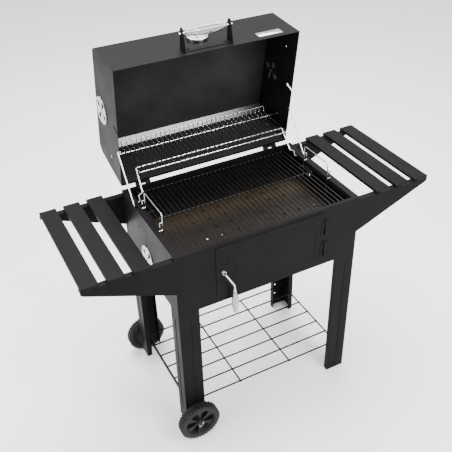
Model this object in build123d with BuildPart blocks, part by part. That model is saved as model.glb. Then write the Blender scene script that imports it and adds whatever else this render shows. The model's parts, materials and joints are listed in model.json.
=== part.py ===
"""Charcoal cart grill with a flip-back hood, two slatted side shelves and a front ash door.

Rest pose: hood open, ash door closed, charcoal pan down on its supports.
Frame: millimetres, +Z up, +X to the right, front towards -Y, origin on the floor under the
middle of the whole open grill.
"""
from build123d import *
from math import cos, radians, sin
import os

os.makedirs("parts", exist_ok=True)

# ---------------------------------------------------------------- driving dimensions
BOX_W = 700.0  # firebox outside width
BOX_D = 450.0  # firebox outside depth
RIM_Z = 820.0  # height of the firebox rim
BOX_BOTTOM_Z = 580.0  # lower edge of the firebox walls
SHEET = 1.5  # body sheet
FIT = 0.05  # radial clearance of a running fit
GAP = 0.5  # air between faces that slide or swing past each other

FLANGE_SIDE = 25.0  # inward flange along each side wall
FLANGE_FRONT = 14.0  # inward flange along front and rear walls
LIP_DROP = 20.0  # turned-down edge of the side flange

HINGE_Y = 240.0  # hood hinge axis, behind the firebox middle
HINGE_Z = 820.0
OPEN_ANGLE = 82.0  # how far the hood stands open at rest
HOOD_HALF = 342.0

LEG_FACE = 75.0  # width of a leg's front or rear face
LEG_SIDE = 63.0  # width of a leg's side face
LEG_LIP = 20.0
LEG_SHEET = 2.5
LEFT_LEG_FOOT_Z = 40.0  # the left legs stand on the wheels

WHEEL_R = 78.5
WHEEL_W = 32.0
AXLE_R = 5.0
AXLE_X = -317.0
AXLE_HALF = 286.0

SHELF_TOP_Z = 821.0
SLAT_DEPTH = 12.0
SLAT_W = 57.0
SLAT_PITCH = 82.5
SLAT_FIRST_X = 423.5
SLAT_HALF_LENGTH = 228.0
BRACKET_TIP_X = 648.0

DOOR_LEFT, DOOR_RIGHT = -208.0, 204.0
DOOR_BOTTOM, DOOR_TOP = 602.0, 805.0

# Hood profile, in hood coordinates: u forward from the hinge, w up from it when closed.
HOOD_REAR_FOOT = (2.0, 5.0)
HOOD_REAR_SHOULDER = (24.0, 199.0)
HOOD_TOP_REAR = (48.0, 222.0)
HOOD_TOP_FRONT = (452.0, 201.0)
HOOD_FRONT_FOOT = (464.0, 0.5)
HOOD_CORNER_R = 24.0

# The firebox middle in the frame: half way between the open hood and the axle end.
hood_reach = (
    HINGE_Y
    - HOOD_TOP_REAR[0] * cos(radians(OPEN_ANGLE))
    + HOOD_TOP_REAR[1] * sin(radians(OPEN_ANGLE))
)
BOX_Y = (AXLE_HALF - hood_reach) / 2


# ---------------------------------------------------------------- planes and helpers
def level(z):
    """Horizontal plane: local x right, local y rearward from the firebox middle."""
    return Plane(origin=(0, BOX_Y, z), x_dir=(1, 0, 0), z_dir=(0, 0, 1))


def facing(y):
    """Upright plane facing the front: local x right, local y up; +extrude comes forward."""
    return Plane(origin=(0, BOX_Y + y, 0), x_dir=(1, 0, 0), z_dir=(0, -1, 0))


def side(x):
    """Upright plane facing right: local x rearward, local y up; +extrude goes right."""
    return Plane(origin=(x, BOX_Y, 0), x_dir=(0, 1, 0), z_dir=(1, 0, 0))


def at(x, y, z):
    """A point given from the firebox middle line."""
    return (x, BOX_Y + y, z)


OPEN_COS = cos(radians(OPEN_ANGLE))
OPEN_SIN = sin(radians(OPEN_ANGLE))


def hood_point(x, u, w):
    """A point of the open hood from hood coordinates."""
    return at(x, HINGE_Y - u * OPEN_COS + w * OPEN_SIN, HINGE_Z + u * OPEN_SIN + w * OPEN_COS)


def hood_side(x):
    """Side plane of the open hood: local x is u, local y is w; +extrude goes left."""
    return Plane(origin=hood_point(x, 0, 0), x_dir=(0, -OPEN_COS, OPEN_SIN), z_dir=(-1, 0, 0))


front_rise = HOOD_TOP_FRONT[1] - HOOD_FRONT_FOOT[1]
front_lean = HOOD_TOP_FRONT[0] - HOOD_FRONT_FOOT[0]
front_length = (front_rise**2 + front_lean**2) ** 0.5
FRONT_UP = (front_lean / front_length, front_rise / front_length)
FRONT_OUT = (FRONT_UP[1], -FRONT_UP[0])


def hood_front(x=0.0, up=0.0, out=0.0):
    """Plane on the hood's front panel: local x right, local y up the panel; +extrude goes outward."""
    u = HOOD_FRONT_FOOT[0] + FRONT_UP[0] * up + FRONT_OUT[0] * out
    w = HOOD_FRONT_FOOT[1] + FRONT_UP[1] * up + FRONT_OUT[1] * out
    outward_y = -FRONT_OUT[0] * OPEN_COS + FRONT_OUT[1] * OPEN_SIN
    outward_z = FRONT_OUT[0] * OPEN_SIN + FRONT_OUT[1] * OPEN_COS
    outward = (0, outward_y, outward_z)
    return Plane(origin=hood_point(x, u, w), x_dir=(1, 0, 0), z_dir=outward)


def wire(points, diameter, bend=0.0):
    """Round wire along a bent route."""
    with BuildPart() as piece:
        with BuildLine() as route:
            if bend and len(points) > 2:
                FilletPolyline(*points, radius=bend)
            else:
                Polyline(*points)
        with BuildSketch(Plane(origin=route.line @ 0, z_dir=route.line % 0)):
            Circle(diameter / 2)
        sweep(path=route.line)
    return piece.part


def rod(start, end, diameter):
    """Straight round rod."""
    direction = Vector(*end) - Vector(*start)
    with BuildPart() as piece:
        with BuildSketch(Plane(origin=start, z_dir=direction)):
            Circle(diameter / 2)
        extrude(amount=direction.length)
    return piece.part


def block(x, y, z):
    """Rectangular block from pairs of limits, y measured from the firebox middle."""
    with BuildPart() as piece:
        with BuildSketch(level(z[0])):
            with Locations(((x[0] + x[1]) / 2, (y[0] + y[1]) / 2)):
                Rectangle(x[1] - x[0], y[1] - y[0])
        extrude(amount=z[1] - z[0])
    return piece.part


def save(piece, name):
    """Label a finished piece and write it as the node of that name."""
    piece.part.label = name
    export_step(piece.part, f"parts/{name}.step")


# ---------------------------------------------------------------- dampers (shared shape)
DAMPER_R = 50.0
DAMPER_SHEET = 1.2
BOX_PETAL_TURN = 45.0  # direction of the wall openings, from +Y towards +Z
HOOD_PETAL_TURN = 69.0  # direction of the hood openings, from u towards w
BOX_SHUTTER_TURN = -8.5  # how far the shutters stand from fully open, about +X
HOOD_SHUTTER_TURN = {"left": 9.0, "right": 45.0}
PETAL_TIP_R, PETAL_OUTER_R = 15.0, 33.0
BOX_DAMPER = (18.0, 653.0)  # y and z on each firebox side wall
HOOD_DAMPER = (230.0, 156.0)  # u and w on each hood side
RIVET_R = 3.0


def petals(centre, turn):
    """Four teardrop openings round a centre, drawn in the current sketch."""
    with BuildSketch() as petal:
        with Locations((PETAL_OUTER_R, 0)):
            Circle(9.5)
        with Locations((PETAL_TIP_R, 0)):
            Circle(2.5)
        make_hull()
    with BuildSketch() as ring:
        with Locations(centre):
            with PolarLocations(0, 4, start_angle=turn):
                add(petal.sketch)
    return ring.sketch


def damper(plane, centre, petal_turn, name):
    """Round chromed shutter with a raised rim and a thumb tab, on a side panel."""
    with BuildPart() as disc:
        with BuildSketch(plane):
            with Locations(centre):
                Circle(DAMPER_R)
                with Locations((DAMPER_R - 2, 0)):
                    SlotOverall(16, 8)
            add(petals(centre, petal_turn), mode=Mode.SUBTRACT)
            with Locations(centre):
                Circle(RIVET_R + FIT, mode=Mode.SUBTRACT)
        extrude(amount=DAMPER_SHEET)
        with BuildSketch(plane.offset(DAMPER_SHEET)):
            with Locations(centre):
                Circle(DAMPER_R)
                Circle(DAMPER_R - 3, mode=Mode.SUBTRACT)
        extrude(amount=1.2)
    save(disc, name)


def rivet(plane, centre, wall):
    """Rivet from behind a wall, through it and the shutter, with a low round head."""
    shank = wall + GAP + DAMPER_SHEET + GAP
    with BuildPart() as pin:
        with BuildSketch(plane.offset(-wall - 1.5)):
            with Locations(centre):
                Circle(7)
        extrude(amount=1.5)
        with BuildSketch(plane.offset(-wall)):
            with Locations(centre):
                Circle(RIVET_R)
        extrude(amount=shank)
        with BuildSketch(plane.offset(shank - wall)):
            with Locations(centre):
                Circle(7)
        extrude(amount=2, taper=30)
    return pin.part


# ---------------------------------------------------------------- firebox walls
HALF_W, HALF_D = BOX_W / 2, BOX_D / 2
WALL_H = RIM_Z - BOX_BOTTOM_Z
WALL_MID_Z = (RIM_Z + BOX_BOTTOM_Z) / 2
IN_X, IN_Y = HALF_W - SHEET, HALF_D - SHEET
DOOR_MID = ((DOOR_LEFT + DOOR_RIGHT) / 2, (DOOR_BOTTOM + DOOR_TOP) / 2)
DOOR_LAP = 8.0  # how far the door covers the wall round its opening

with BuildPart() as front_panel:
    with BuildSketch(facing(-HALF_D)):
        with Locations((0, WALL_MID_Z)):
            Rectangle(BOX_W, WALL_H)
        with Locations(DOOR_MID):
            opening_w = DOOR_RIGHT - DOOR_LEFT - 2 * DOOR_LAP
            opening_h = DOOR_TOP - DOOR_BOTTOM - 2 * DOOR_LAP
            RectangleRounded(opening_w, opening_h, 8, mode=Mode.SUBTRACT)
    extrude(amount=-SHEET)
    add(block((-IN_X, IN_X), (-IN_Y, -HALF_D + FLANGE_FRONT), (RIM_Z - SHEET, RIM_Z)))
save(front_panel, "front_panel")

with BuildPart() as rear_panel:
    with BuildSketch(facing(HALF_D)):
        with Locations((0, WALL_MID_Z)):
            Rectangle(BOX_W, WALL_H)
    extrude(amount=SHEET)
    add(block((-IN_X, IN_X), (HALF_D - FLANGE_FRONT, IN_Y), (RIM_Z - SHEET, RIM_Z)))
save(rear_panel, "rear_panel")

# Pivots that the side flange carries.
WIRE = 5.0
RACK_FOOT = (136.0, 812.3)  # y and z where the rack's front frame pivots in the lip
STAY_X = 345.0
STAY_SLOT = (90.0, 125.0)  # the hood stay works in this slot of the flange
WALL_HOLE = (80.0, 750.0)
FLANGE_HALF = HALF_D - FLANGE_FRONT - 0.1

for sign, name in ((-1, "left_panel"), (1, "right_panel")):
    with BuildPart() as side_panel:
        with BuildSketch(side(sign * HALF_W)):
            with Locations((0, WALL_MID_Z)):
                Rectangle(2 * IN_Y, WALL_H)
            add(petals(BOX_DAMPER, BOX_PETAL_TURN), mode=Mode.SUBTRACT)
            with Locations(BOX_DAMPER):
                Circle(RIVET_R, mode=Mode.SUBTRACT)
            with Locations(WALL_HOLE):
                Circle(4, mode=Mode.SUBTRACT)
        extrude(amount=-sign * SHEET)
        with BuildSketch(level(RIM_Z)):
            with Locations((sign * (HALF_W - SHEET - (FLANGE_SIDE - SHEET) / 2), 0)):
                Rectangle(FLANGE_SIDE - SHEET, 2 * FLANGE_HALF)
            with Locations((sign * STAY_X, sum(STAY_SLOT) / 2)):
                SlotOverall(STAY_SLOT[1] - STAY_SLOT[0], WIRE + 2, rotation=90, mode=Mode.SUBTRACT)
        extrude(amount=-SHEET)
        with BuildSketch(side(sign * (HALF_W - FLANGE_SIDE))):
            with Locations((0, RIM_Z - LIP_DROP / 2)):
                Rectangle(2 * FLANGE_HALF, LIP_DROP)
            with Locations(RACK_FOOT):
                Circle(WIRE / 2 + FIT, mode=Mode.SUBTRACT)
        extrude(amount=sign * SHEET)
    save(side_panel, name)

FLOOR_Z = 596.0
with BuildPart() as firebox_floor:
    with BuildSketch(level(FLOOR_Z)):
        Rectangle(2 * (IN_X - 2.1), 2 * (IN_Y - 2.1))
        with GridLocations(60, 60, 8, 4):
            Circle(5, mode=Mode.SUBTRACT)
    extrude(amount=SHEET)
save(firebox_floor, "firebox_floor")

RAIL_Z = 802.0
with BuildPart() as grate_rails:
    for y in (-1, 1):
        wall_side = sorted((y * IN_Y, y * (IN_Y - SHEET)))
        shelf_side = sorted((y * (IN_Y - SHEET), y * (IN_Y - 16)))
        add(block((-300, 300), wall_side, (RAIL_Z - 5, RAIL_Z)))
        add(block((-300, 300), shelf_side, (RAIL_Z - SHEET, RAIL_Z)))
save(grate_rails, "grate_rails")

left_outside = Plane(origin=at(-HALF_W, 0, 0), x_dir=(0, -1, 0), z_dir=(-1, 0, 0))
for sign, name in ((-1, "firebox_damper_left"), (1, "firebox_damper_right")):
    plane = side(HALF_W + GAP) if sign > 0 else left_outside.offset(GAP)
    damper(plane, (sign * BOX_DAMPER[0], BOX_DAMPER[1]), sign * (BOX_PETAL_TURN + BOX_SHUTTER_TURN), name)

with BuildPart() as firebox_damper_rivets:
    add(rivet(side(HALF_W), BOX_DAMPER, SHEET))
    add(rivet(left_outside, (-BOX_DAMPER[0], BOX_DAMPER[1]), SHEET))
save(firebox_damper_rivets, "firebox_damper_rivets")

# ---------------------------------------------------------------- cooking grate
GRATE_BARS = 35
BAR_PITCH = 17.7
BAR_D = 4.5
GRATE_HALF_Y = 208.0
CROSS_D = 5.0
GRATE_Z = RAIL_Z + CROSS_D + BAR_D / 2 - 0.4
CROSS_ROWS = (-201.0, 18.0, 201.0)
grate_half_x = BAR_PITCH * (GRATE_BARS - 1) / 2
CROSS_Z = RAIL_Z + CROSS_D / 2

with BuildPart() as cooking_grate:
    with BuildSketch(facing(GRATE_HALF_Y)):
        with Locations((0, GRATE_Z)):
            with GridLocations(BAR_PITCH, 1, GRATE_BARS, 1):
                Circle(BAR_D / 2)
    extrude(amount=2 * GRATE_HALF_Y)
    for y in CROSS_ROWS:
        add(rod(at(-grate_half_x - 2, y, CROSS_Z), at(grate_half_x + 2, y, CROSS_Z), CROSS_D))
    for sign in (-1, 1):
        inner = sign * (grate_half_x - 8)
        outer = sign * (grate_half_x + 14)
        corners = ((inner, 14), (outer, 14), (outer, 70), (inner, 70))
        route = [at(x, y, CROSS_Z) for x, y in corners]
        add(wire(route, WIRE, 6))
save(cooking_grate, "cooking_grate")

# ---------------------------------------------------------------- charcoal pan and its bails
PAN_HALF_X, PAN_HALF_Y = 315.0, 205.0
PAN_Z, PAN_RIM_Z = 712.0, 744.0
BAIL_X = 318.0
BAIL_D = 4.0
BAIL_REAR, BAIL_FRONT = 78.0, -73.0
BAIL_TOP_Z = 883.0
BAIL_HOOK_Z = 736.0

with BuildPart() as charcoal_pan:
    add(block((-PAN_HALF_X, PAN_HALF_X), (-PAN_HALF_Y, PAN_HALF_Y), (PAN_Z, PAN_RIM_Z)))
    hollow = block(
        (-PAN_HALF_X + SHEET, PAN_HALF_X - SHEET),
        (-PAN_HALF_Y + SHEET, PAN_HALF_Y - SHEET),
        (PAN_Z + SHEET, PAN_RIM_Z + 1),
    )
    add(hollow, mode=Mode.SUBTRACT)
    with BuildSketch(level(PAN_Z)):
        with GridLocations(62, 54, 10, 7):
            Circle(5)
    extrude(amount=SHEET, mode=Mode.SUBTRACT)
    with BuildSketch(side(-PAN_HALF_X)):
        with Locations((BAIL_FRONT, BAIL_HOOK_Z), (BAIL_REAR, BAIL_HOOK_Z)):
            Circle(BAIL_D / 2)
    extrude(amount=2 * PAN_HALF_X, mode=Mode.SUBTRACT)
save(charcoal_pan, "charcoal_pan")

for sign, name in ((-1, "pan_bail_left"), (1, "pan_bail_right")):
    x = sign * BAIL_X
    hook = sign * (PAN_HALF_X - 6)
    route = [
        at(hook, BAIL_FRONT, BAIL_HOOK_Z),
        at(x, BAIL_FRONT, BAIL_HOOK_Z),
        at(x, BAIL_FRONT, BAIL_TOP_Z - 6),
        at(x, BAIL_FRONT + 8, BAIL_TOP_Z),
        at(x, BAIL_REAR - 8, BAIL_TOP_Z),
        at(x, BAIL_REAR, BAIL_TOP_Z - 6),
        at(x, BAIL_REAR, BAIL_HOOK_Z),
        at(hook, BAIL_REAR, BAIL_HOOK_Z),
    ]
    with BuildPart() as bail:
        add(wire(route, BAIL_D, 2.5))
        for y in (BAIL_FRONT, BAIL_REAR):
            rest_z = RIM_Z + BAIL_D / 2 + 0.3
            add(rod(at(x, y, rest_z), at(sign * 332, y, rest_z), BAIL_D))
            add(wire([at(x, y, 852), at(sign * 328, y, 852), at(sign * 328, y, 838)], BAIL_D, 3))
    save(bail, name)

# ---------------------------------------------------------------- hood shell
PIVOT_U = -(307.0 - HINGE_Y) * OPEN_COS + 94.7 * OPEN_SIN
PIVOT_W = (307.0 - HINGE_Y) * OPEN_SIN + 94.7 * OPEN_COS
STAY_PIVOT = (149.3, 8.5)
SPIT_SLOT_INNER, SPIT_SLOT_MOUTH = (235.0, 36.0), (225.0, -6.0)
SPIT_HOLE = (373.0, 72.0)
THERMO = (-4.0, 102.0)  # x and height up the front panel
THERMO_STEM_R = 4.0
HANDLE_SCREWS = ((-69.0, 38.0), (69.0, 38.0))
HANDLE_SCREW_R = 2.5


def hood_outline():
    """Closed side outline of the hood in hood coordinates, for the current sketch."""
    with BuildSketch() as shape:
        with BuildLine():
            FilletPolyline(HOOD_TOP_REAR, HOOD_TOP_FRONT, HOOD_FRONT_FOOT, radius=HOOD_CORNER_R)
            Polyline(HOOD_FRONT_FOOT, HOOD_REAR_FOOT, HOOD_REAR_SHOULDER, HOOD_TOP_REAR)
        make_face()
    return shape.sketch


with BuildPart() as hood_skin:
    with BuildSketch(hood_side(HOOD_HALF)):
        add(hood_outline())
        inner_outline = offset(hood_outline(), amount=-SHEET, mode=Mode.PRIVATE)
        add(inner_outline, mode=Mode.SUBTRACT)
        with BuildLine():
            Polyline(
                (HOOD_REAR_FOOT[0] + SHEET + 0.2, -2),
                (HOOD_FRONT_FOOT[0] - SHEET - 0.2, -6),
                (HOOD_FRONT_FOOT[0] - SHEET - 0.5, 8),
                (HOOD_REAR_FOOT[0] + SHEET + 0.6, 12),
                close=True,
            )
        make_face(mode=Mode.SUBTRACT)
    extrude(amount=2 * HOOD_HALF)
    with BuildSketch(hood_front()):
        with Locations(THERMO):
            Circle(THERMO_STEM_R)
        with Locations(*HANDLE_SCREWS):
            Circle(HANDLE_SCREW_R)
    extrude(amount=-20, mode=Mode.SUBTRACT)
save(hood_skin, "hood_skin")

for sign, name in ((-1, "hood_left_side"), (1, "hood_right_side")):
    with BuildPart() as hood_panel:
        with BuildSketch(hood_side(HOOD_HALF if sign > 0 else -HOOD_HALF + SHEET)):
            add(offset(hood_outline(), amount=-SHEET, mode=Mode.PRIVATE))
            add(petals(HOOD_DAMPER, HOOD_PETAL_TURN), mode=Mode.SUBTRACT)
            with Locations(HOOD_DAMPER, SPIT_HOLE):
                Circle(RIVET_R, mode=Mode.SUBTRACT)
            with Locations((PIVOT_U, PIVOT_W), STAY_PIVOT):
                Circle(WIRE / 2 + FIT, mode=Mode.SUBTRACT)
            with Locations(SPIT_SLOT_INNER):
                Circle(6, mode=Mode.SUBTRACT)
            with BuildLine():
                slot_line = Line(SPIT_SLOT_INNER, SPIT_SLOT_MOUTH)
                offset(slot_line, amount=4)
            make_face(mode=Mode.SUBTRACT)
        extrude(amount=SHEET)
    save(hood_panel, name)

right_outside = Plane(origin=hood_point(HOOD_HALF, 0, 0), x_dir=(0, OPEN_COS, -OPEN_SIN), z_dir=(1, 0, 0))
for sign, side_name in ((-1, "left"), (1, "right")):
    plane = hood_side(-HOOD_HALF - GAP) if sign < 0 else right_outside.offset(GAP)
    petal_turn = -sign * (HOOD_PETAL_TURN - HOOD_SHUTTER_TURN[side_name])
    damper(plane, (-sign * HOOD_DAMPER[0], HOOD_DAMPER[1]), petal_turn, f"hood_damper_{side_name}")

with BuildPart() as hood_damper_rivets:
    add(rivet(hood_side(-HOOD_HALF), HOOD_DAMPER, SHEET))
    add(rivet(right_outside, (-HOOD_DAMPER[0], HOOD_DAMPER[1]), SHEET))
save(hood_damper_rivets, "hood_damper_rivets")

# ---------------------------------------------------------------- hood hinges
HINGE_X = (-264.0, 264.0)
HINGE_W = 56.0
KNUCKLE_R = 5.0
HINGE_PIN_R = 2.5
KNUCKLE = HINGE_W / 3

with BuildPart() as hood_hinge_box_leaves:
    for x in HINGE_X:
        add(block((x - HINGE_W / 2, x + HINGE_W / 2), (HALF_D, HALF_D + 2), (768, 808)))
        for part_x in (x - HINGE_W / 2, x + HINGE_W / 2 - KNUCKLE):
            with BuildSketch(side(part_x)):
                with BuildLine():
                    Polyline(
                        (HALF_D, 800),
                        (HALF_D + 2, 800),
                        (HINGE_Y + 3, 816.5),
                        (HINGE_Y - 3, 824),
                        (HALF_D, 808),
                        close=True,
                    )
                make_face()
                with Locations((HINGE_Y, HINGE_Z)):
                    Circle(KNUCKLE_R)
                    Circle(HINGE_PIN_R, mode=Mode.SUBTRACT)
            extrude(amount=KNUCKLE)
save(hood_hinge_box_leaves, "hood_hinge_box_leaves")

rear_length = (Vector(*HOOD_REAR_SHOULDER) - Vector(*HOOD_REAR_FOOT)).length
REAR_UP = (
    (HOOD_REAR_SHOULDER[0] - HOOD_REAR_FOOT[0]) / rear_length,
    (HOOD_REAR_SHOULDER[1] - HOOD_REAR_FOOT[1]) / rear_length,
)


def rear_skin(along, out):
    """Hood coordinates of a point on the rear skin's outside."""
    return (
        HOOD_REAR_FOOT[0] + REAR_UP[0] * along - REAR_UP[1] * out,
        HOOD_REAR_FOOT[1] + REAR_UP[1] * along + REAR_UP[0] * out,
    )


with BuildPart() as hood_hinge_hood_leaves:
    for x in HINGE_X:
        with BuildSketch(hood_side(x + HINGE_W / 2)):
            with BuildLine():
                Polyline(*[rear_skin(*p) for p in ((10, 0.02), (52, 0.02), (52, 2), (10, 2))], close=True)
            make_face()
        extrude(amount=HINGE_W)
        with BuildSketch(hood_side(x + KNUCKLE / 2 - 0.3)):
            with BuildLine():
                tongue = ((0.6, 0.02), (12, 0.02), (12, 2), (0, 6), (-6, 4))
                Polyline(*[rear_skin(*p) for p in tongue], close=True)
            make_face()
            Circle(KNUCKLE_R)
            Circle(HINGE_PIN_R + FIT, mode=Mode.SUBTRACT)
            add(offset(hood_outline(), amount=0.02, mode=Mode.PRIVATE), mode=Mode.SUBTRACT)
        extrude(amount=KNUCKLE - 0.6)
save(hood_hinge_hood_leaves, "hood_hinge_hood_leaves")

# ---------------------------------------------------------------- hood handle
HANDLE_HALF = 88.0
HANDLE_OUT = 57.0  # grip axis above the panel
HANDLE_UP = 43.0
HANDLE_ROD_R = 4.0
EAR_SHEET = 2.0
EAR_LEFT, EAR_RIGHT = 31.0, 55.0
EAR_SHOULDER, EAR_TOP = 65.0, 77.0

with BuildPart() as handle_bracket:
    with BuildSketch(hood_front(0, 0, 0.02)):
        with Locations((0, 42)):
            RectangleRounded(2 * HANDLE_HALF, 40, 2)
        with Locations(*HANDLE_SCREWS):
            Circle(HANDLE_SCREW_R, mode=Mode.SUBTRACT)
    extrude(amount=EAR_SHEET)
    ear_plane = hood_front(HANDLE_HALF - EAR_SHEET)
    ear_side = Plane(origin=ear_plane.origin, x_dir=ear_plane.y_dir, z_dir=(1, 0, 0))
    for shift in (0, -2 * HANDLE_HALF + EAR_SHEET):
        with BuildSketch(ear_side.offset(shift)):
            with BuildLine():
                Polyline((EAR_LEFT, EAR_SHOULDER), (14, 0.02), (58, 0.02), (EAR_RIGHT, EAR_SHOULDER))
                ThreePointArc((EAR_RIGHT, EAR_SHOULDER), (HANDLE_UP, EAR_TOP), (EAR_LEFT, EAR_SHOULDER))
            make_face()
            with Locations((HANDLE_UP, HANDLE_OUT)):
                Circle(HANDLE_ROD_R, mode=Mode.SUBTRACT)
        extrude(amount=EAR_SHEET)
save(handle_bracket, "handle_bracket")

rod_plane = hood_front(-97, HANDLE_UP, HANDLE_OUT)
rod_axis = Plane(origin=rod_plane.origin, z_dir=(1, 0, 0))
with BuildPart() as handle_rod:
    with BuildSketch(rod_axis):
        Circle(HANDLE_ROD_R)
    extrude(amount=194)
    chamfer(handle_rod.edges().filter_by(GeomType.CIRCLE), 1)
save(handle_rod, "handle_rod")


def barrel_grip(plane, length, end_r, middle_r, bore_r):
    """Barrel-shaped coil grip on its rod, along the plane's normal."""
    with BuildPart() as grip:
        with BuildSketch(Plane(origin=plane.origin, x_dir=plane.x_dir, z_dir=-plane.y_dir)):
            with BuildLine():
                Line((bore_r, 0), (end_r, 0))
                ThreePointArc((end_r, 0), (middle_r, length / 2), (end_r, length))
                Polyline((end_r, length), (bore_r, length), (bore_r, 0))
            make_face()
        revolve(axis=Axis(plane.origin, plane.z_dir))
    return grip.part


grip_start = hood_front(-78, HANDLE_UP, HANDLE_OUT)
with BuildPart() as handle_grip:
    add(barrel_grip(Plane(origin=grip_start.origin, z_dir=(1, 0, 0)), 156, 7, 18, HANDLE_ROD_R))
save(handle_grip, "handle_grip")

with BuildPart() as handle_screws:
    for x, up in HANDLE_SCREWS:
        with BuildSketch(hood_front(x, up, -SHEET - 2)):
            Circle(HANDLE_SCREW_R)
        extrude(amount=SHEET + 2 + EAR_SHEET + 0.02)
        with BuildSketch(hood_front(x, up, EAR_SHEET + 0.02)):
            Circle(5)
        extrude(amount=2.6, taper=25)
save(handle_screws, "handle_screws")

# ---------------------------------------------------------------- thermometer and badge
THERMO_R = 37.0

with BuildPart() as thermometer_case:
    with BuildSketch(hood_front(*THERMO, 0.02)):
        Circle(THERMO_R - 1)
    extrude(amount=3)
    with BuildSketch(hood_front(*THERMO, 3)):
        Circle(THERMO_R)
        Circle(THERMO_R - 3.5, mode=Mode.SUBTRACT)
    extrude(amount=9)
    outward_axis = Axis(hood_front().origin, hood_front().z_dir)
    bezel_edges = thermometer_case.edges().filter_by(GeomType.CIRCLE).sort_by(outward_axis)[-2:]
    fillet(bezel_edges, 1.4)
save(thermometer_case, "thermometer_case")

with BuildPart() as thermometer_dial:
    with BuildSketch(hood_front(*THERMO, 3.04)):
        Circle(THERMO_R - 3.7)
        Circle(1.55, mode=Mode.SUBTRACT)
    extrude(amount=1.2)
save(thermometer_dial, "thermometer_dial")

with BuildPart() as thermometer_needle:
    with BuildSketch(hood_front(*THERMO, 3.1)):
        Circle(1.5)
    extrude(amount=3.4)
    with BuildSketch(hood_front(*THERMO, 4.9)):
        Circle(3.5)
        with BuildLine():
            Polyline((-2, -8), (2, -8), (0.5, 27), (-0.5, 27), close=True)
        make_face()
    extrude(amount=1)
save(thermometer_needle, "thermometer_needle")

with BuildPart() as thermometer_glass:
    with BuildSketch(hood_front(*THERMO, 8.4)):
        Circle(THERMO_R - 3.55)
    extrude(amount=1.6)
save(thermometer_glass, "thermometer_glass")

with BuildPart() as thermometer_stem:
    with BuildSketch(hood_front(*THERMO, -SHEET)):
        Circle(3.9)
    extrude(amount=SHEET + 0.02)
    with BuildSketch(hood_front(*THERMO, -SHEET - 5)):
        RegularPolygon(8, 6)
    extrude(amount=4.95)
    with BuildSketch(hood_front(*THERMO, -SHEET - 42)):
        Circle(3)
    extrude(amount=37)
save(thermometer_stem, "thermometer_stem")

with BuildPart() as badge_plate:
    with BuildSketch(hood_front(238, 34, 0.02)):
        RectangleRounded(94, 31, 2)
    extrude(amount=2.2)
    chamfer(badge_plate.faces().sort_by(Axis(hood_front().origin, hood_front().z_dir))[-1].edges(), 0.8)
save(badge_plate, "badge_plate")

# ---------------------------------------------------------------- warming rack, a parallelogram with the hood
RACK_HALF = 294.0
RACK_WIRES = 32
RACK_WIRE_D = 3.0
RACK_REAR_Y, RACK_FRONT_Y = 338.0, 169.0
RACK_REAR_Z, RACK_FRONT_Z = 920.8, 909.0
RACK_LIP_Z = 943.0
PIVOT_Y, PIVOT_Z = 307.0, 914.7
FRAME_TOP = (RACK_FOOT[0] + PIVOT_Y - HINGE_Y, RACK_FOOT[1] + PIVOT_Z - HINGE_Z)

with BuildPart() as warming_rack:
    route = [(RACK_FRONT_Y - 4, RACK_FRONT_Z), (RACK_REAR_Y, RACK_REAR_Z), (RACK_REAR_Y, RACK_LIP_Z)]
    for i in range(RACK_WIRES):
        x = -RACK_HALF + i * 2 * RACK_HALF / (RACK_WIRES - 1)
        add(wire([at(x, y, z) for y, z in route], RACK_WIRE_D, 5))
    rail_gap = (RACK_WIRE_D + WIRE) / 2 - 0.3
    for y, z in ((RACK_FRONT_Y, RACK_FRONT_Z - rail_gap), (RACK_REAR_Y + rail_gap, RACK_LIP_Z - 2)):
        add(rod(at(-RACK_HALF - 2, y, z), at(RACK_HALF + 2, y, z), WIRE))
    head_x = HOOD_HALF + GAP
    add(rod(at(-head_x, PIVOT_Y, PIVOT_Z), at(head_x, PIVOT_Y, PIVOT_Z), WIRE))
    for sign in (-1, 1):
        add(rod(at(sign * head_x, PIVOT_Y, PIVOT_Z), at(sign * (head_x + 3), PIVOT_Y, PIVOT_Z), 9))
        collar_in, collar_out = HOOD_HALF - SHEET - 3.5, HOOD_HALF - SHEET - 0.5
        add(rod(at(sign * collar_in, PIVOT_Y, PIVOT_Z), at(sign * collar_out, PIVOT_Y, PIVOT_Z), 9))
save(warming_rack, "warming_rack")

with BuildPart() as rack_front_frame:
    half_route = [
        at(331, *RACK_FOOT),
        at(316, *RACK_FOOT),
        at(316, RACK_FOOT[0] + 8, RACK_FOOT[1] + 19),
        at(300, RACK_FOOT[0] + 10, RACK_FOOT[1] + 26),
        at(295, *FRAME_TOP),
    ]
    mirrored = [(-x, y, z) for x, y, z in reversed(half_route)]
    add(wire(half_route + mirrored, WIRE, 4))
save(rack_front_frame, "rack_front_frame")

# ---------------------------------------------------------------- hood stays
stay_top = hood_point(0, *STAY_PIVOT)
STAY_FOOT_DY, STAY_FOOT_DZ = 120.0 - (stay_top[1] - BOX_Y), RIM_Z - 1 - stay_top[2]
foot_scale = 1.08  # the stay reaches a little below the flange
for sign, name in ((-1, "hood_stay_left"), (1, "hood_stay_right")):
    foot_y = stay_top[1] + STAY_FOOT_DY * foot_scale
    foot_z = stay_top[2] + STAY_FOOT_DZ * foot_scale
    route = [
        (sign * (HOOD_HALF - SHEET - 4), stay_top[1], stay_top[2]),
        (sign * STAY_X, stay_top[1], stay_top[2]),
        (sign * STAY_X, foot_y, foot_z),
        (sign * (STAY_X - 9), foot_y, foot_z),
    ]
    with BuildPart() as stay:
        add(wire(route, WIRE, 2.6))
    save(stay, name)

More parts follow.
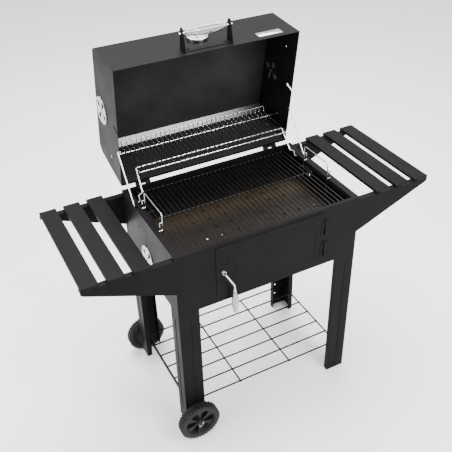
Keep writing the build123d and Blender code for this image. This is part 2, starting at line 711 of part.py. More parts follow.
# ---------------------------------------------------------------- ash door
DOOR_FACE_Y = -HALF_D - GAP - SHEET
DOOR_SHEET = 1.5
DOOR_PIVOT = (212.0, -HALF_D - 4.5)
RIDGE_SIZE = (359.0, 143.0)  # embossed outline on the door
RIDGE_MID = (1.5, 685.5)
RIDGE_W = 7.0
RIDGE_NOTCH_R = 44.0  # the outline passes round the handle at this distance
HANDLE_PIVOT = (-181.0, 700.0)
LATCH_ROD_R = 3.5

with BuildPart() as ash_door:
    with BuildSketch(facing(-HALF_D - GAP)):
        with Locations(DOOR_MID):
            RectangleRounded(DOOR_RIGHT - DOOR_LEFT, DOOR_TOP - DOOR_BOTTOM, 4)
        with Locations(HANDLE_PIVOT):
            Circle(LATCH_ROD_R + FIT, mode=Mode.SUBTRACT)
    extrude(amount=DOOR_SHEET)
    with BuildSketch(facing(DOOR_FACE_Y)) as ridge:
        with Locations(RIDGE_MID):
            RectangleRounded(*RIDGE_SIZE, 22)
        with Locations(HANDLE_PIVOT):
            Circle(RIDGE_NOTCH_R, mode=Mode.SUBTRACT)
        notch = Vector(*HANDLE_PIVOT)
        on_notch = lambda v: abs((Vector(v.X, v.Y) - notch).length - RIDGE_NOTCH_R) < 0.5
        notch_ends = [v for v in ridge.vertices() if on_notch(v)]
        fillet(notch_ends, 6)
        add(offset(ridge.sketch, amount=-RIDGE_W, mode=Mode.PRIVATE), mode=Mode.SUBTRACT)
    extrude(amount=1.4)
    chamfer(ash_door.faces().sort_by(Axis.Y)[0].edges(), 1.0)
save(ash_door, "ash_door")

DOOR_HINGES = ((712.0, 772.0), (621.0, 681.0))
DOOR_KNUCKLE_R = 4.0
DOOR_PIN_R = 2.0

with BuildPart() as door_hinge_box_leaves:
    for low, high in DOOR_HINGES:
        middle = (low + high) / 2
        add(block((215.5, 229), (-HALF_D - SHEET, -HALF_D), (low, high)))
        add(block((212.5, 217), (-HALF_D - SHEET, -HALF_D), (low, middle - 0.3)))
        with BuildSketch(level(low)):
            with Locations(DOOR_PIVOT):
                Circle(DOOR_KNUCKLE_R)
                Circle(DOOR_PIN_R, mode=Mode.SUBTRACT)
        extrude(amount=(high - low) / 2 - 0.3)
save(door_hinge_box_leaves, "door_hinge_box_leaves")

with BuildPart() as door_hinge_door_leaves:
    for low, high in DOOR_HINGES:
        middle = (low + high) / 2
        add(block((195, 203.5), (DOOR_FACE_Y - SHEET, DOOR_FACE_Y), (low, high)))
        add(block((203, 209.5), (DOOR_FACE_Y - SHEET, DOOR_FACE_Y), (middle + 0.3, high)))
        with BuildSketch(level(middle + 0.3)):
            with Locations(DOOR_PIVOT):
                Circle(DOOR_KNUCKLE_R)
                Circle(DOOR_PIN_R + FIT, mode=Mode.SUBTRACT)
        extrude(amount=high - middle - 0.3)
save(door_hinge_door_leaves, "door_hinge_door_leaves")

with BuildPart() as hinge_pins:
    for low, high in DOOR_HINGES:
        add(rod(at(*DOOR_PIVOT, low), at(*DOOR_PIVOT, high), 2 * DOOR_PIN_R))
    for x in HINGE_X:
        start, end = at(x - HINGE_W / 2, HINGE_Y, HINGE_Z), at(x + HINGE_W / 2, HINGE_Y, HINGE_Z)
        add(rod(start, end, 2 * HINGE_PIN_R))
save(hinge_pins, "hinge_pins")

HANDLE_Y = -HALF_D - 22.0
with BuildPart() as door_handle_rod:
    route = [
        at(HANDLE_PIVOT[0], -213, HANDLE_PIVOT[1]),
        at(HANDLE_PIVOT[0], HANDLE_Y, HANDLE_PIVOT[1]),
        at(-153, HANDLE_Y, 648),
        at(-151, HANDLE_Y, 532),
    ]
    add(wire(route, 2 * LATCH_ROD_R, 8))
save(door_handle_rod, "door_handle_rod")

with BuildPart() as door_handle_bush:
    with BuildSketch(facing(DOOR_FACE_Y)):
        with Locations(HANDLE_PIVOT):
            Circle(9)
            Circle(LATCH_ROD_R + FIT, mode=Mode.SUBTRACT)
    extrude(amount=6, taper=20)
save(door_handle_bush, "door_handle_bush")

grip_top = Vector(*at(-152.57, HANDLE_Y, 623))
grip_axis = Vector(2 / 116, 0, -1)
with BuildPart() as door_handle_grip:
    add(barrel_grip(Plane(origin=grip_top, x_dir=(0, 1, 0), z_dir=grip_axis), 93, 6, 11.5, LATCH_ROD_R))
save(door_handle_grip, "door_handle_grip")

with BuildPart() as door_latch:
    with BuildSketch(facing(-217)):
        with Locations(HANDLE_PIVOT):
            Circle(8)
            Circle(LATCH_ROD_R, mode=Mode.SUBTRACT)
        with Locations((HANDLE_PIVOT[0] - 11, HANDLE_PIVOT[1])):
            Rectangle(10, 8)
    extrude(amount=2)
save(door_latch, "door_latch")

# ---------------------------------------------------------------- side shelves
BRACKET_TOP_Z = SHELF_TOP_Z - SLAT_DEPTH
BRACKET_ROOT_Z = 674.0

for side_sign, side_name in ((-1, "left"), (1, "right")):
    for end_sign, end_name in ((-1, "front"), (1, "rear")):
        plate_y = end_sign * HALF_D
        with BuildPart() as bracket:
            with BuildSketch(facing(plate_y)):
                with BuildLine():
                    Polyline(
                        (side_sign * HALF_W, BRACKET_ROOT_Z),
                        (side_sign * (BRACKET_TIP_X - 8), BRACKET_TOP_Z - 17),
                        (side_sign * BRACKET_TIP_X, BRACKET_TOP_Z - 10),
                        (side_sign * BRACKET_TIP_X, BRACKET_TOP_Z),
                        (side_sign * HALF_W, BRACKET_TOP_Z),
                        close=True,
                    )
                make_face()
            extrude(amount=end_sign * SHEET)
            inside = sorted((end_sign * IN_Y, end_sign * (IN_Y - 20)))
            reach = sorted((side_sign * HALF_W, side_sign * BRACKET_TIP_X))
            add(block(reach, inside, (BRACKET_TOP_Z - SHEET, BRACKET_TOP_Z)))
            root = sorted((side_sign * HALF_W, side_sign * (HALF_W + SHEET)))
            add(block(root, inside, (BRACKET_ROOT_Z + 4, BRACKET_TOP_Z)))
        save(bracket, f"{side_name}_{end_name}_shelf_bracket")

for side_sign, side_name in ((-1, "left"), (1, "right")):
    with BuildPart() as slats:
        for i in range(3):
            near = SLAT_FIRST_X + i * SLAT_PITCH
            outer = sorted((side_sign * near, side_sign * (near + SLAT_W)))
            inner = (outer[0] + SHEET, outer[1] - SHEET)
            add(block(outer, (-SLAT_HALF_LENGTH, SLAT_HALF_LENGTH), (BRACKET_TOP_Z, SHELF_TOP_Z)))
            add(
                block(
                    inner,
                    (-SLAT_HALF_LENGTH + SHEET, SLAT_HALF_LENGTH - SHEET),
                    (BRACKET_TOP_Z, SHELF_TOP_Z - SHEET),
                ),
                mode=Mode.SUBTRACT,
            )
    top_edges = slats.faces().group_by(Axis.Z)[-1].edges()
    with slats:
        chamfer(top_edges, 1)
    save(slats, f"{side_name}_shelf_slats")

# ---------------------------------------------------------------- legs
BEAD_W, BEAD_DEPTH = 9.0, 1.2
BEAD_TOP_Z = 545.0
LEG_TOP_Z = BOX_BOTTOM_Z - 0.5
TONGUE_TOP_Z = 640.0
LEG_HOLE_X = 296.0

for side_sign, side_name in ((-1, "left"), (1, "right")):
    for end_sign, end_name in ((-1, "front"), (1, "rear")):
        foot_z = LEFT_LEG_FOOT_Z if side_sign < 0 else 0.0
        with BuildPart() as leg:
            x_edge, y_edge = side_sign * HALF_W, end_sign * HALF_D
            x_in, y_in = x_edge - side_sign * LEG_FACE, y_edge - end_sign * LEG_SIDE
            face_y = sorted((y_edge, y_edge - end_sign * LEG_SHEET))
            side_x = sorted((x_edge, x_edge - side_sign * LEG_SHEET))
            add(block(sorted((x_edge, x_in)), face_y, (foot_z, LEG_TOP_Z)))
            add(block(side_x, sorted((y_edge, y_in)), (foot_z, LEG_TOP_Z)))
            height = (foot_z, LEG_TOP_Z)
            lip_x = sorted((x_edge, x_edge - side_sign * LEG_LIP))
            lip_y = sorted((y_edge, y_edge - end_sign * LEG_LIP))
            add(block(sorted((x_in, x_in + side_sign * LEG_SHEET)), lip_y, height))
            add(block(lip_x, sorted((y_in, y_in + end_sign * LEG_SHEET)), height))
            tongue = SHEET + 0.02
            tongue_x = sorted((x_edge - side_sign * tongue, x_edge - side_sign * (tongue + 2)))
            tongue_y = sorted((y_edge - end_sign * tongue, y_edge - end_sign * (tongue + 2)))
            add(block(tongue_x, sorted((y_edge - end_sign * tongue, y_in)), (LEG_TOP_Z - 20, TONGUE_TOP_Z)))
            add(block(sorted((x_edge - side_sign * tongue, x_in)), tongue_y, (LEG_TOP_Z - 20, TONGUE_TOP_Z)))
            bead_low = foot_z + 60
            bead_mid, bead_length = (bead_low + BEAD_TOP_Z) / 2, BEAD_TOP_Z - bead_low
            with BuildSketch(facing(y_edge)):
                with Locations((x_edge - side_sign * LEG_FACE * 0.52, bead_mid)):
                    SlotOverall(bead_length, BEAD_W, rotation=90)
            extrude(amount=end_sign * BEAD_DEPTH, mode=Mode.SUBTRACT)
            with BuildSketch(side(x_edge)):
                with Locations((y_edge - end_sign * LEG_SIDE * 0.5, bead_mid)):
                    SlotOverall(bead_length, BEAD_W, rotation=90)
            extrude(amount=-side_sign * BEAD_DEPTH, mode=Mode.SUBTRACT)
            if side_sign < 0:
                with BuildSketch(facing(y_edge)):
                    with Locations((AXLE_X, WHEEL_R)):
                        Circle(AXLE_R + 0.1)
                extrude(amount=end_sign * 10, mode=Mode.SUBTRACT)
            elif end_sign > 0:
                with BuildSketch(facing(y_edge)):
                    with Locations((LEG_HOLE_X, 65), (LEG_HOLE_X, 115)):
                        Circle(4)
                extrude(amount=end_sign * 10, mode=Mode.SUBTRACT)
        save(leg, f"{side_name}_{end_name}_leg")

with BuildPart() as leg_bolts:
    for x in (-1, 1):
        for y in (-1, 1):
            for z in (BOX_BOTTOM_Z + 26, BOX_BOTTOM_Z + 46):
                inner_x = x * (HALF_W - SHEET - 2.02)
                add(rod(at(inner_x, y * 196, z), at(inner_x - x * 4, y * 196, z), 11))
save(leg_bolts, "leg_bolts")

# ---------------------------------------------------------------- bottom shelf
SHELF_Z = 120.0
SHELF_X, SHELF_Y = 326.0, 199.0
SHELF_WIRE = 6.0

with BuildPart() as bottom_shelf:
    for i in range(7):
        y = -SHELF_Y + i * SHELF_Y / 3
        reach = HALF_W - LEG_SHEET if i in (0, 6) else SHELF_X
        add(rod(at(-reach, y, SHELF_Z), at(reach, y, SHELF_Z), SHELF_WIRE))
    for x in (-SHELF_X, -SHELF_X / 3, SHELF_X / 3, SHELF_X):
        z = SHELF_Z - SHELF_WIRE + 0.4
        add(rod(at(x, -SHELF_Y - 2, z), at(x, SHELF_Y + 2, z), SHELF_WIRE))
save(bottom_shelf, "bottom_shelf")

# ---------------------------------------------------------------- axle and wheels
WHEEL_IN, WHEEL_OUT = 243.0, 243.0 + WHEEL_W
HUB_IN, HUB_OUT = 229.0, 277.0
HUB_R = 13.0
PIN_Y = 282.0

with BuildPart() as axle:
    add(rod(at(AXLE_X, -AXLE_HALF, WHEEL_R), at(AXLE_X, AXLE_HALF, WHEEL_R), 2 * AXLE_R))
    for y in (-PIN_Y, PIN_Y):
        add(rod(at(AXLE_X - 10, y, WHEEL_R - 10), at(AXLE_X + 10, y, WHEEL_R + 10), 3.0), mode=Mode.SUBTRACT)
save(axle, "axle")

with BuildPart() as split_pins:
    for y in (-PIN_Y, PIN_Y):
        add(rod(at(AXLE_X - 9, y, WHEEL_R - 9), at(AXLE_X + 9, y, WHEEL_R + 9), 3.0))
save(split_pins, "split_pins")

with BuildPart() as axle_washers:
    for y in (-1, 1):
        for near, far in ((HALF_D + 0.1, HALF_D + 2.6), (HUB_OUT + 0.4, HUB_OUT + 2.4)):
            with BuildSketch(facing(y * near)):
                with Locations((AXLE_X, WHEEL_R)):
                    Circle(11)
                    Circle(AXLE_R, mode=Mode.SUBTRACT)
            extrude(amount=-y * (far - near))
save(axle_washers, "axle_washers")

for sign, name in ((-1, "front_wheel"), (1, "rear_wheel")):
    with BuildPart() as wheel:
        with BuildSketch(side(AXLE_X)):
            with BuildLine():
                Polyline(
                    (sign * HUB_IN, WHEEL_R + AXLE_R + FIT),
                    (sign * HUB_IN, WHEEL_R + HUB_R),
                    (sign * (WHEEL_IN + 8), WHEEL_R + HUB_R + 2),
                    (sign * (WHEEL_IN + 8), WHEEL_R + 54),
                    (sign * WHEEL_IN, WHEEL_R + 56),
                    (sign * WHEEL_IN, WHEEL_R + WHEEL_R - 5),
                    (sign * (WHEEL_IN + 5), 2 * WHEEL_R),
                    (sign * (WHEEL_OUT - 5), 2 * WHEEL_R),
                    (sign * WHEEL_OUT, 2 * WHEEL_R - 5),
                    (sign * WHEEL_OUT, WHEEL_R + 54),
                    (sign * (WHEEL_OUT - 7), WHEEL_R + 50),
                    (sign * (WHEEL_OUT - 7), WHEEL_R + HUB_R + 2),
                    (sign * HUB_OUT, WHEEL_R + HUB_R),
                    (sign * HUB_OUT, WHEEL_R + AXLE_R + FIT),
                    close=True,
                )
            make_face()
        revolve(axis=Axis(at(AXLE_X, 0, WHEEL_R), (0, 1, 0)))
        with BuildSketch(facing(sign * (WHEEL_OUT + 1))):
            with Locations((AXLE_X, WHEEL_R)):
                with PolarLocations(33, 6):
                    SlotOverall(24, 15)
        extrude(amount=sign * 12, mode=Mode.SUBTRACT)
    save(wheel, name)
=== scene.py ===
"""Looks for the charcoal cart grill: finishes, wound grips, wheels, dial, studio and camera."""

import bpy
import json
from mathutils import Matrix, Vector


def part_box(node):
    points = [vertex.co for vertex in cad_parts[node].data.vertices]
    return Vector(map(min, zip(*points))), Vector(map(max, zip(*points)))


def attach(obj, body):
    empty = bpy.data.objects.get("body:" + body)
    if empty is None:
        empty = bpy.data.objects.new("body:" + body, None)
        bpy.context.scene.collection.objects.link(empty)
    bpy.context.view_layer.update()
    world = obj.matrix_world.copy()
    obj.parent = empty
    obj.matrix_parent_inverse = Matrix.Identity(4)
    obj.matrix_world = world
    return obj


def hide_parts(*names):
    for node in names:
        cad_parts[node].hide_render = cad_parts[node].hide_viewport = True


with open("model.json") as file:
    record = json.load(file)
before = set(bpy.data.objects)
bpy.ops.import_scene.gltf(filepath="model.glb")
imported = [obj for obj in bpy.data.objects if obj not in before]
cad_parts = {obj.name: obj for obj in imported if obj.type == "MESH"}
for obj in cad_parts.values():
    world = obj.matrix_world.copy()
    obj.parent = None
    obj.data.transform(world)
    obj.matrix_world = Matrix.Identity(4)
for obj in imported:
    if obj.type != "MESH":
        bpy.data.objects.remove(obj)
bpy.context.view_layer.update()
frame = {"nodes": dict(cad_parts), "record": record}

import json
import math

import bmesh
import bpy
from mathutils import Matrix, Vector

NODES = frame["nodes"]

# ------------------------------------------------------------------ shared measurements
FIREBOX_HALF_DEPTH = 0.225
PAN_HALF_DEPTH = 0.20
LIGHT_AND_SHADE_SHIFT = 0.03  # how far the painted light and shade pattern on the pan sits behind the firebox middle
OPEN_ANGLE = math.radians(82.0)


def middle(node):
    """Centre of a CAD node's box."""
    low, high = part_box(node)
    return (low + high) / 2


BOX_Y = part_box("front_panel")[0].y + FIREBOX_HALF_DEPTH  # y of the firebox middle


# ------------------------------------------------------------------ material helpers
def new_material(name):
    material = bpy.data.materials.new(name)
    material.use_nodes = True
    tree = material.node_tree
    return material, tree, tree.nodes["Principled BSDF"]


def coordinates(tree, scale=(1, 1, 1)):
    place = tree.nodes.new("ShaderNodeTexCoord")
    mapping = tree.nodes.new("ShaderNodeMapping")
    mapping.inputs["Scale"].default_value = scale
    tree.links.new(place.outputs["Object"], mapping.inputs["Vector"])
    return mapping.outputs["Vector"]


def noise(tree, vector, scale, detail=4.0, rough=0.55):
    node = tree.nodes.new("ShaderNodeTexNoise")
    node.inputs["Scale"].default_value = scale
    node.inputs["Detail"].default_value = detail
    node.inputs["Roughness"].default_value = rough
    tree.links.new(vector, node.inputs["Vector"])
    return node.outputs["Fac"]


def ramp(tree, source, stops):
    node = tree.nodes.new("ShaderNodeValToRGB")
    elements = node.color_ramp.elements
    while len(elements) < len(stops):
        elements.new(0.5)
    for element, (position, colour) in zip(elements, stops):
        element.position = position
        element.color = (*colour, 1) if len(colour) == 3 else (colour[0],) * 3 + (1,)
    tree.links.new(source, node.inputs["Fac"])
    return node.outputs["Color"]


def bump(tree, shader, source, strength, distance, below=None):
    node = tree.nodes.new("ShaderNodeBump")
    node.inputs["Strength"].default_value = strength
    node.inputs["Distance"].default_value = distance
    tree.links.new(source, node.inputs["Height"])
    if below:
        tree.links.new(below, node.inputs["Normal"])
    tree.links.new(node.outputs["Normal"], shader.inputs["Normal"])
    return node.outputs["Normal"]


def powder_coat(name, dark, light, rough_low, rough_high, texture=1.0, ior=1.10):
    """Satin powder coat: orange peel, slow gloss variation and a little settled dust."""
    material, tree, shader = new_material(name)
    where = coordinates(tree)
    slow = noise(tree, where, 9.0, 3.0)
    peel = noise(tree, where, 620.0, 2.0, 0.5)
    waves = noise(tree, where, 26.0, 2.0, 0.4)
    colour = ramp(tree, slow, [(0.3, dark), (0.72, light)])
    rough = ramp(tree, slow, [(0.3, (rough_low,)), (0.7, (rough_high,))])
    tree.links.new(colour, shader.inputs["Base Color"])
    tree.links.new(rough, shader.inputs["Roughness"])
    shader.inputs["IOR"].default_value = ior
    below = bump(tree, shader, waves, 0.10 * texture, 0.0008)
    bump(tree, shader, peel, 0.16 * texture, 0.0002, below)
    return material


GLOSS_SPREAD = 0.08


def plated(name, tint, rough, streak=0.0):
    """Plated or bare metal with fine variation in gloss."""
    material, tree, shader = new_material(name)
    where = coordinates(tree, (1, 1, 1 + streak))
    cloudy = noise(tree, where, 60.0, 5.0)
    fine = noise(tree, where, 900.0, 2.0)
    low = tuple(0.82 * c for c in tint)
    tree.links.new(ramp(tree, cloudy, [(0.3, low), (0.65, tint)]), shader.inputs["Base Color"])
    smoothest = max(0.04, rough - GLOSS_SPREAD)
    gloss = ramp(tree, cloudy, [(0.25, (smoothest,)), (0.75, (rough + GLOSS_SPREAD,))])
    tree.links.new(gloss, shader.inputs["Roughness"])
    shader.inputs["Metallic"].default_value = 1.0
    bump(tree, shader, fine, 0.08, 0.0001)
    return material


def plastic(name, dark, light, rough):
    material, tree, shader = new_material(name)
    where = coordinates(tree)
    cloudy = noise(tree, where, 35.0, 4.0)
    grain = noise(tree, where, 1400.0, 2.0)
    tree.links.new(ramp(tree, cloudy, [(0.3, dark), (0.7, light)]), shader.inputs["Base Color"])
    gloss = ramp(tree, cloudy, [(0.3, (rough - 0.06,)), (0.7, (rough + 0.06,))])
    tree.links.new(gloss, shader.inputs["Roughness"])
    shader.inputs["Specular IOR Level"].default_value = 0.16
    bump(tree, shader, grain, 0.25, 0.0002)
    return material


def enamel(name):
    """Dark coated grate bars, duller and browner where food and heat reach them."""
    material, tree, shader = new_material(name)
    where = coordinates(tree)
    cloudy = noise(tree, where, 22.0, 5.0)
    fine = noise(tree, where, 500.0, 3.0)
    colour = ramp(
        tree,
        cloudy,
        [(0.3, (0.0035, 0.0035, 0.0035)), (0.55, (0.005, 0.0048, 0.0046)), (0.8, (0.009, 0.008, 0.0072))],
    )
    tree.links.new(colour, shader.inputs["Base Color"])
    tree.links.new(ramp(tree, cloudy, [(0.3, (0.28,)), (0.8, (0.45,))]), shader.inputs["Roughness"])
    shader.inputs["Specular IOR Level"].default_value = 0.22
    bump(tree, shader, fine, 0.3, 0.0002)
    return material


def pan_steel(name):
    """Heat-browned thin steel, with painted shade darkening it towards the rear and a painted pool of light
    making it brighter and browner just ahead of the middle.
    """
    material, tree, shader = new_material(name)
    where = coordinates(tree)
    blotch = noise(tree, where, 9.0, 6.0, 0.6)
    fine = noise(tree, where, 160.0, 4.0)
    split = tree.nodes.new("ShaderNodeSeparateXYZ")
    tree.links.new(where, split.inputs["Vector"])
    wobble = tree.nodes.new("ShaderNodeMath")
    wobble.operation = "MULTIPLY_ADD"
    wobble.inputs[1].default_value = 0.06
    tree.links.new(blotch, wobble.inputs[0])
    tree.links.new(split.outputs["Y"], wobble.inputs[2])
    depth = tree.nodes.new("ShaderNodeMapRange")
    depth.inputs["From Min"].default_value = BOX_Y - PAN_HALF_DEPTH + LIGHT_AND_SHADE_SHIFT
    depth.inputs["From Max"].default_value = BOX_Y + PAN_HALF_DEPTH + LIGHT_AND_SHADE_SHIFT
    tree.links.new(wobble.outputs["Value"], depth.inputs["Value"])
    # Painted light and shade along y: a lit brown band just ahead of the middle, painted shade behind it.
    lit_and_shaded_tone = ramp(
        tree,
        depth.outputs["Result"],
        [
            (0.0, (0.016, 0.0135, 0.0115)),
            (0.56, (0.020, 0.0165, 0.0135)),
            (0.70, (0.044, 0.031, 0.018)),
            (0.80, (0.036, 0.025, 0.015)),
            (0.88, (0.007, 0.0058, 0.005)),
            (1.0, (0.005, 0.0042, 0.0038)),
        ],
    )
    tree.links.new(lit_and_shaded_tone, shader.inputs["Base Color"])
    tree.links.new(ramp(tree, fine, [(0.3, (0.42,)), (0.7, (0.62,))]), shader.inputs["Roughness"])
    shader.inputs["Specular IOR Level"].default_value = 0.12
    bump(tree, shader, fine, 0.2, 0.0003)
    return material


def glass(name):
    material, tree, shader = new_material(name)
    where = coordinates(tree)
    smear = noise(tree, where, 90.0, 3.0)
    tree.links.new(ramp(tree, smear, [(0.4, (0.03,)), (0.8, (0.09,))]), shader.inputs["Roughness"])
    shader.inputs["Base Color"].default_value = (1, 1, 1, 1)
    shader.inputs["Transmission Weight"].default_value = 1.0
    shader.inputs["IOR"].default_value = 1.05
    return material


def painted(name, low, high, rough):
    material, tree, shader = new_material(name)
    where = coordinates(tree)
    cloudy = noise(tree, where, 130.0, 3.0)
    tree.links.new(ramp(tree, cloudy, [(0.3, low), (0.7, high)]), shader.inputs["Base Color"])
    shader.inputs["Roughness"].default_value = rough
    bump(tree, shader, cloudy, 0.08, 0.0001)
    return material


COAT = powder_coat("coat", (0.0064, 0.0057, 0.0062), (0.0086, 0.0077, 0.0083), 0.34, 0.44)
COAT_FRAME = powder_coat("coat_frame", (0.0062, 0.0056, 0.0060), (0.0084, 0.0076, 0.0081), 0.36, 0.46, 1.2)
CHROME = plated("chrome", (0.62, 0.62, 0.62), 0.16)
TRIM = plated("trim", (0.60, 0.60, 0.60), 0.22)
ZINC = plated("zinc", (0.56, 0.57, 0.58), 0.34)
SHUTTER = plated("shutter", (0.62, 0.62, 0.62), 0.42)
ZINC_DULL = plated("zinc_dull", (0.10, 0.10, 0.10), 0.5)
GRATE = enamel("grate")
PAN = pan_steel("pan")
# Lit copies of the coat for the hood's inside: lighter walls as painted light, and a lighter, glossier bend
# as a painted highlight.
COAT_INSIDE_PAINTED_LIGHT = powder_coat(
    "coat_inside_painted_light", (0.017, 0.0157, 0.0161), (0.025, 0.0232, 0.0237), 0.30, 0.40, ior=1.22
)
COAT_BEND_PAINTED_HIGHLIGHT = powder_coat("coat_bend_painted_highlight", (0.019, 0.0175, 0.0180), (0.028, 0.026, 0.0265), 0.24, 0.32, ior=1.90)
WIRE_BLACK = powder_coat("wire_black", (0.004, 0.004, 0.0042), (0.007, 0.007, 0.0073), 0.36, 0.48)
WHEEL = plastic("wheel", (0.0072, 0.0067, 0.0066), (0.0118, 0.0110, 0.0108), 0.48)
DIAL = painted("dial", (0.46, 0.46, 0.45), (0.54, 0.54, 0.53), 0.55)
INK = painted("ink", (0.015, 0.015, 0.015), (0.03, 0.03, 0.03), 0.6)
NEEDLE = painted("needle", (0.10, 0.012, 0.010), (0.13, 0.016, 0.013), 0.35)
GLASS = glass("glass")
BADGE = plated("badge", (0.50, 0.51, 0.52), 0.3, 40.0)

SLOT_MATERIAL = {
    "powder_coat": COAT,
    "powder_coat_frame": COAT_FRAME,
    "grate_enamel": GRATE,
    "chrome_wire": CHROME,
    "chrome_trim": TRIM,
    "pan_steel": PAN,
    "black_wire": WIRE_BLACK,
    "wheel_plastic": WHEEL,
    "zinc": ZINC,
    "dial": DIAL,
    "needle": NEEDLE,
    "glass": GLASS,
    "badge": BADGE,
}
NODE_SLOT = {entry["node"]: entry["material_slot"] for entry in frame["record"]["subparts"]}
for node_name, node_object in NODES.items():
    for material_slot in node_object.material_slots:
        material_slot.material = SLOT_MATERIAL[NODE_SLOT[node_name]]
for node_name in ("axle", "axle_washers"):
    NODES[node_name].material_slots[0].material = ZINC_DULL
for node_name in ("hood_damper_left", "hood_damper_right", "firebox_damper_left", "firebox_damper_right"):
    NODES[node_name].material_slots[0].material = SHUTTER


# ------------------------------------------------------------------ mesh helpers
def finish_piece(piece, body, material, replaced=()):
    piece.data.materials.clear()
    piece.data.materials.append(material)
    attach(piece, body)
    if replaced:
        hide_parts(*replaced)


def mesh_piece(name, build, body, material, replaced=(), smooth=True):
    """A new mesh object filled in by build(bmesh)."""
    work = bmesh.new()
    build(work)
    bmesh.ops.recalc_face_normals(work, faces=work.faces)
    mesh = bpy.data.meshes.new(name)
    work.to_mesh(mesh)
    work.free()
    if smooth:
        mesh.shade_smooth()
    piece = bpy.data.objects.new(name, mesh)
    bpy.context.scene.collection.objects.link(piece)
    finish_piece(piece, body, material, replaced)


def tube(work, points, radius, sides):
    """Round tube along points, capped at both ends."""
    rings = []
    normal = None
    last = len(points) - 1
    for i, point in enumerate(points):
        tangent = points[min(i + 1, last)] - points[max(i - 1, 0)]
        tangent.normalize()
        if normal is None:
            normal = tangent.orthogonal().normalized()
        normal = (normal - tangent * normal.dot(tangent)).normalized()
        side_way = tangent.cross(normal)
        ring = []
        for k in range(sides):
            angle = 2 * math.pi * k / sides
            offset = normal * math.cos(angle) + side_way * math.sin(angle)
            ring.append(work.verts.new(point + offset * radius))
        rings.append(ring)
    for a, b in zip(rings, rings[1:]):
        for k in range(sides):
            work.faces.new((a[k], a[(k + 1) % sides], b[(k + 1) % sides], b[k]))
    work.faces.new(list(reversed(rings[0])))
    work.faces.new(rings[-1])


def lathe(work, profile, axis_from, axis_way, sides):
    """Closed profile of (radius, along) pairs turned round an axis."""
    axis_way = Vector(axis_way).normalized()
    a = axis_way.orthogonal().normalized()
    b = axis_way.cross(a)
    rings = []
    for k in range(sides):
        angle = 2 * math.pi * k / sides
        out = a * math.cos(angle) + b * math.sin(angle)
        rings.append([work.verts.new(Vector(axis_from) + out * r + axis_way * h) for r, h in profile])
    n = len(profile)
    for k in range(sides):
        p, q = rings[k], rings[(k + 1) % sides]
        for i in range(n):
            j = (i + 1) % n
            work.faces.new((p[i], q[i], q[j], p[j]))


SHORTEST_ROUNDED = 0.012


def softened(node, body, width):
    """A copy of a CAD node with its long sharp edges rounded, standing for the node."""
    source = NODES[node]
    work = bmesh.new()
    work.from_mesh(source.data)
    bmesh.ops.remove_doubles(work, verts=work.verts, dist=1e-6)
    bmesh.ops.dissolve_limit(
        work, angle_limit=math.radians(1.0), verts=work.verts, edges=work.edges, use_dissolve_boundaries=False
    )
    weight = work.edges.layers.float.new("bevel_weight_edge")
    for edge in work.edges:
        if len(edge.link_faces) != 2:
            continue
        sharp = edge.calc_face_angle() > math.radians(25)
        if sharp and edge.calc_length() > SHORTEST_ROUNDED:
            edge[weight] = 1.0
        elif sharp:
            edge.smooth = False
    mesh = bpy.data.meshes.new(node + "_look")
    work.to_mesh(mesh)
    work.free()
    piece = bpy.data.objects.new(node + "_look", mesh)
    bpy.context.scene.collection.objects.link(piece)
    bevel = piece.modifiers.new("round", "BEVEL")
    bevel.width = width
    bevel.segments = 2
    bevel.limit_method = "WEIGHT"
    bevel.use_clamp_overlap = True
    normals = piece.modifiers.new("flat_faces", "WEIGHTED_NORMAL")
    normals.weight = 100
    normals.keep_sharp = True
    mesh.shade_smooth()
    slot = NODE_SLOT[node]
    finish_piece(piece, body, SLOT_MATERIAL[slot], (node,))


# ------------------------------------------------------------------ wound grips
def wound_grip(name, node, body, way, end_radius, middle_radius, wire, pitch, ferrules):
    """Open coil on a barrel-shaped path, with a smooth ferrule at the listed ends."""
    low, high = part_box(node)
    way = Vector(way).normalized()
    centre = (low + high) / 2
    half = abs((high - low).dot(way)) / 2
    a = way.orthogonal().normalized()
    b = way.cross(a)

    def radius_at(along):
        t = along / half
        return middle_radius - (middle_radius - end_radius) * t * t

    def build(work):
        turns = round(2 * half / pitch)
        steps = 22
        total = turns * steps
        path = []
        for i in range(total + 1):
            along = -half + wire / 2 + (2 * half - wire) * i / total
            angle = 2 * math.pi * i / steps
            out = a * math.cos(angle) + b * math.sin(angle)
            path.append(centre + way * along + out * (radius_at(along) - wire / 2))
        tube(work, path, wire / 2, 8)

    mesh_piece(name, build, body, CHROME, (node,))
    for end in ferrules:

        def collar(work, end=end):
            r = end_radius * 0.86
            profile = [
                (end_radius * 0.4, 0),
                (r, 0),
                (r * 1.05, 0.003),
                (r * 0.9, 0.009),
                (end_radius * 0.5, 0.012),
            ]
            lathe(work, profile, centre + way * half * end, way * end, 32)

        mesh_piece(f"{name}_collar_{'a' if end > 0 else 'b'}", collar, body, TRIM)


wound_grip("hood_grip_coil", "handle_grip", "hood", (1, 0, 0), 0.0070, 0.0180, 0.0028, 0.0047, ())
DOOR_GRIP_WAY = (-2 / 116, 0, 1)
wound_grip(
    "door_grip_coil", "door_handle_grip", "door_handle", DOOR_GRIP_WAY, 0.0060, 0.0115, 0.0024, 0.0038, (1,)
)


# ------------------------------------------------------------------ wheels
AXLE_X = -0.317
WHEEL_R = 0.0785
BORE_R = 0.0050
WEB_DEPTH = 0.0220
TREAD_BLOCKS = 36
TREAD_FOOT_R, TREAD_TOP_R = 0.0738, 0.0784
SPOKES = 6


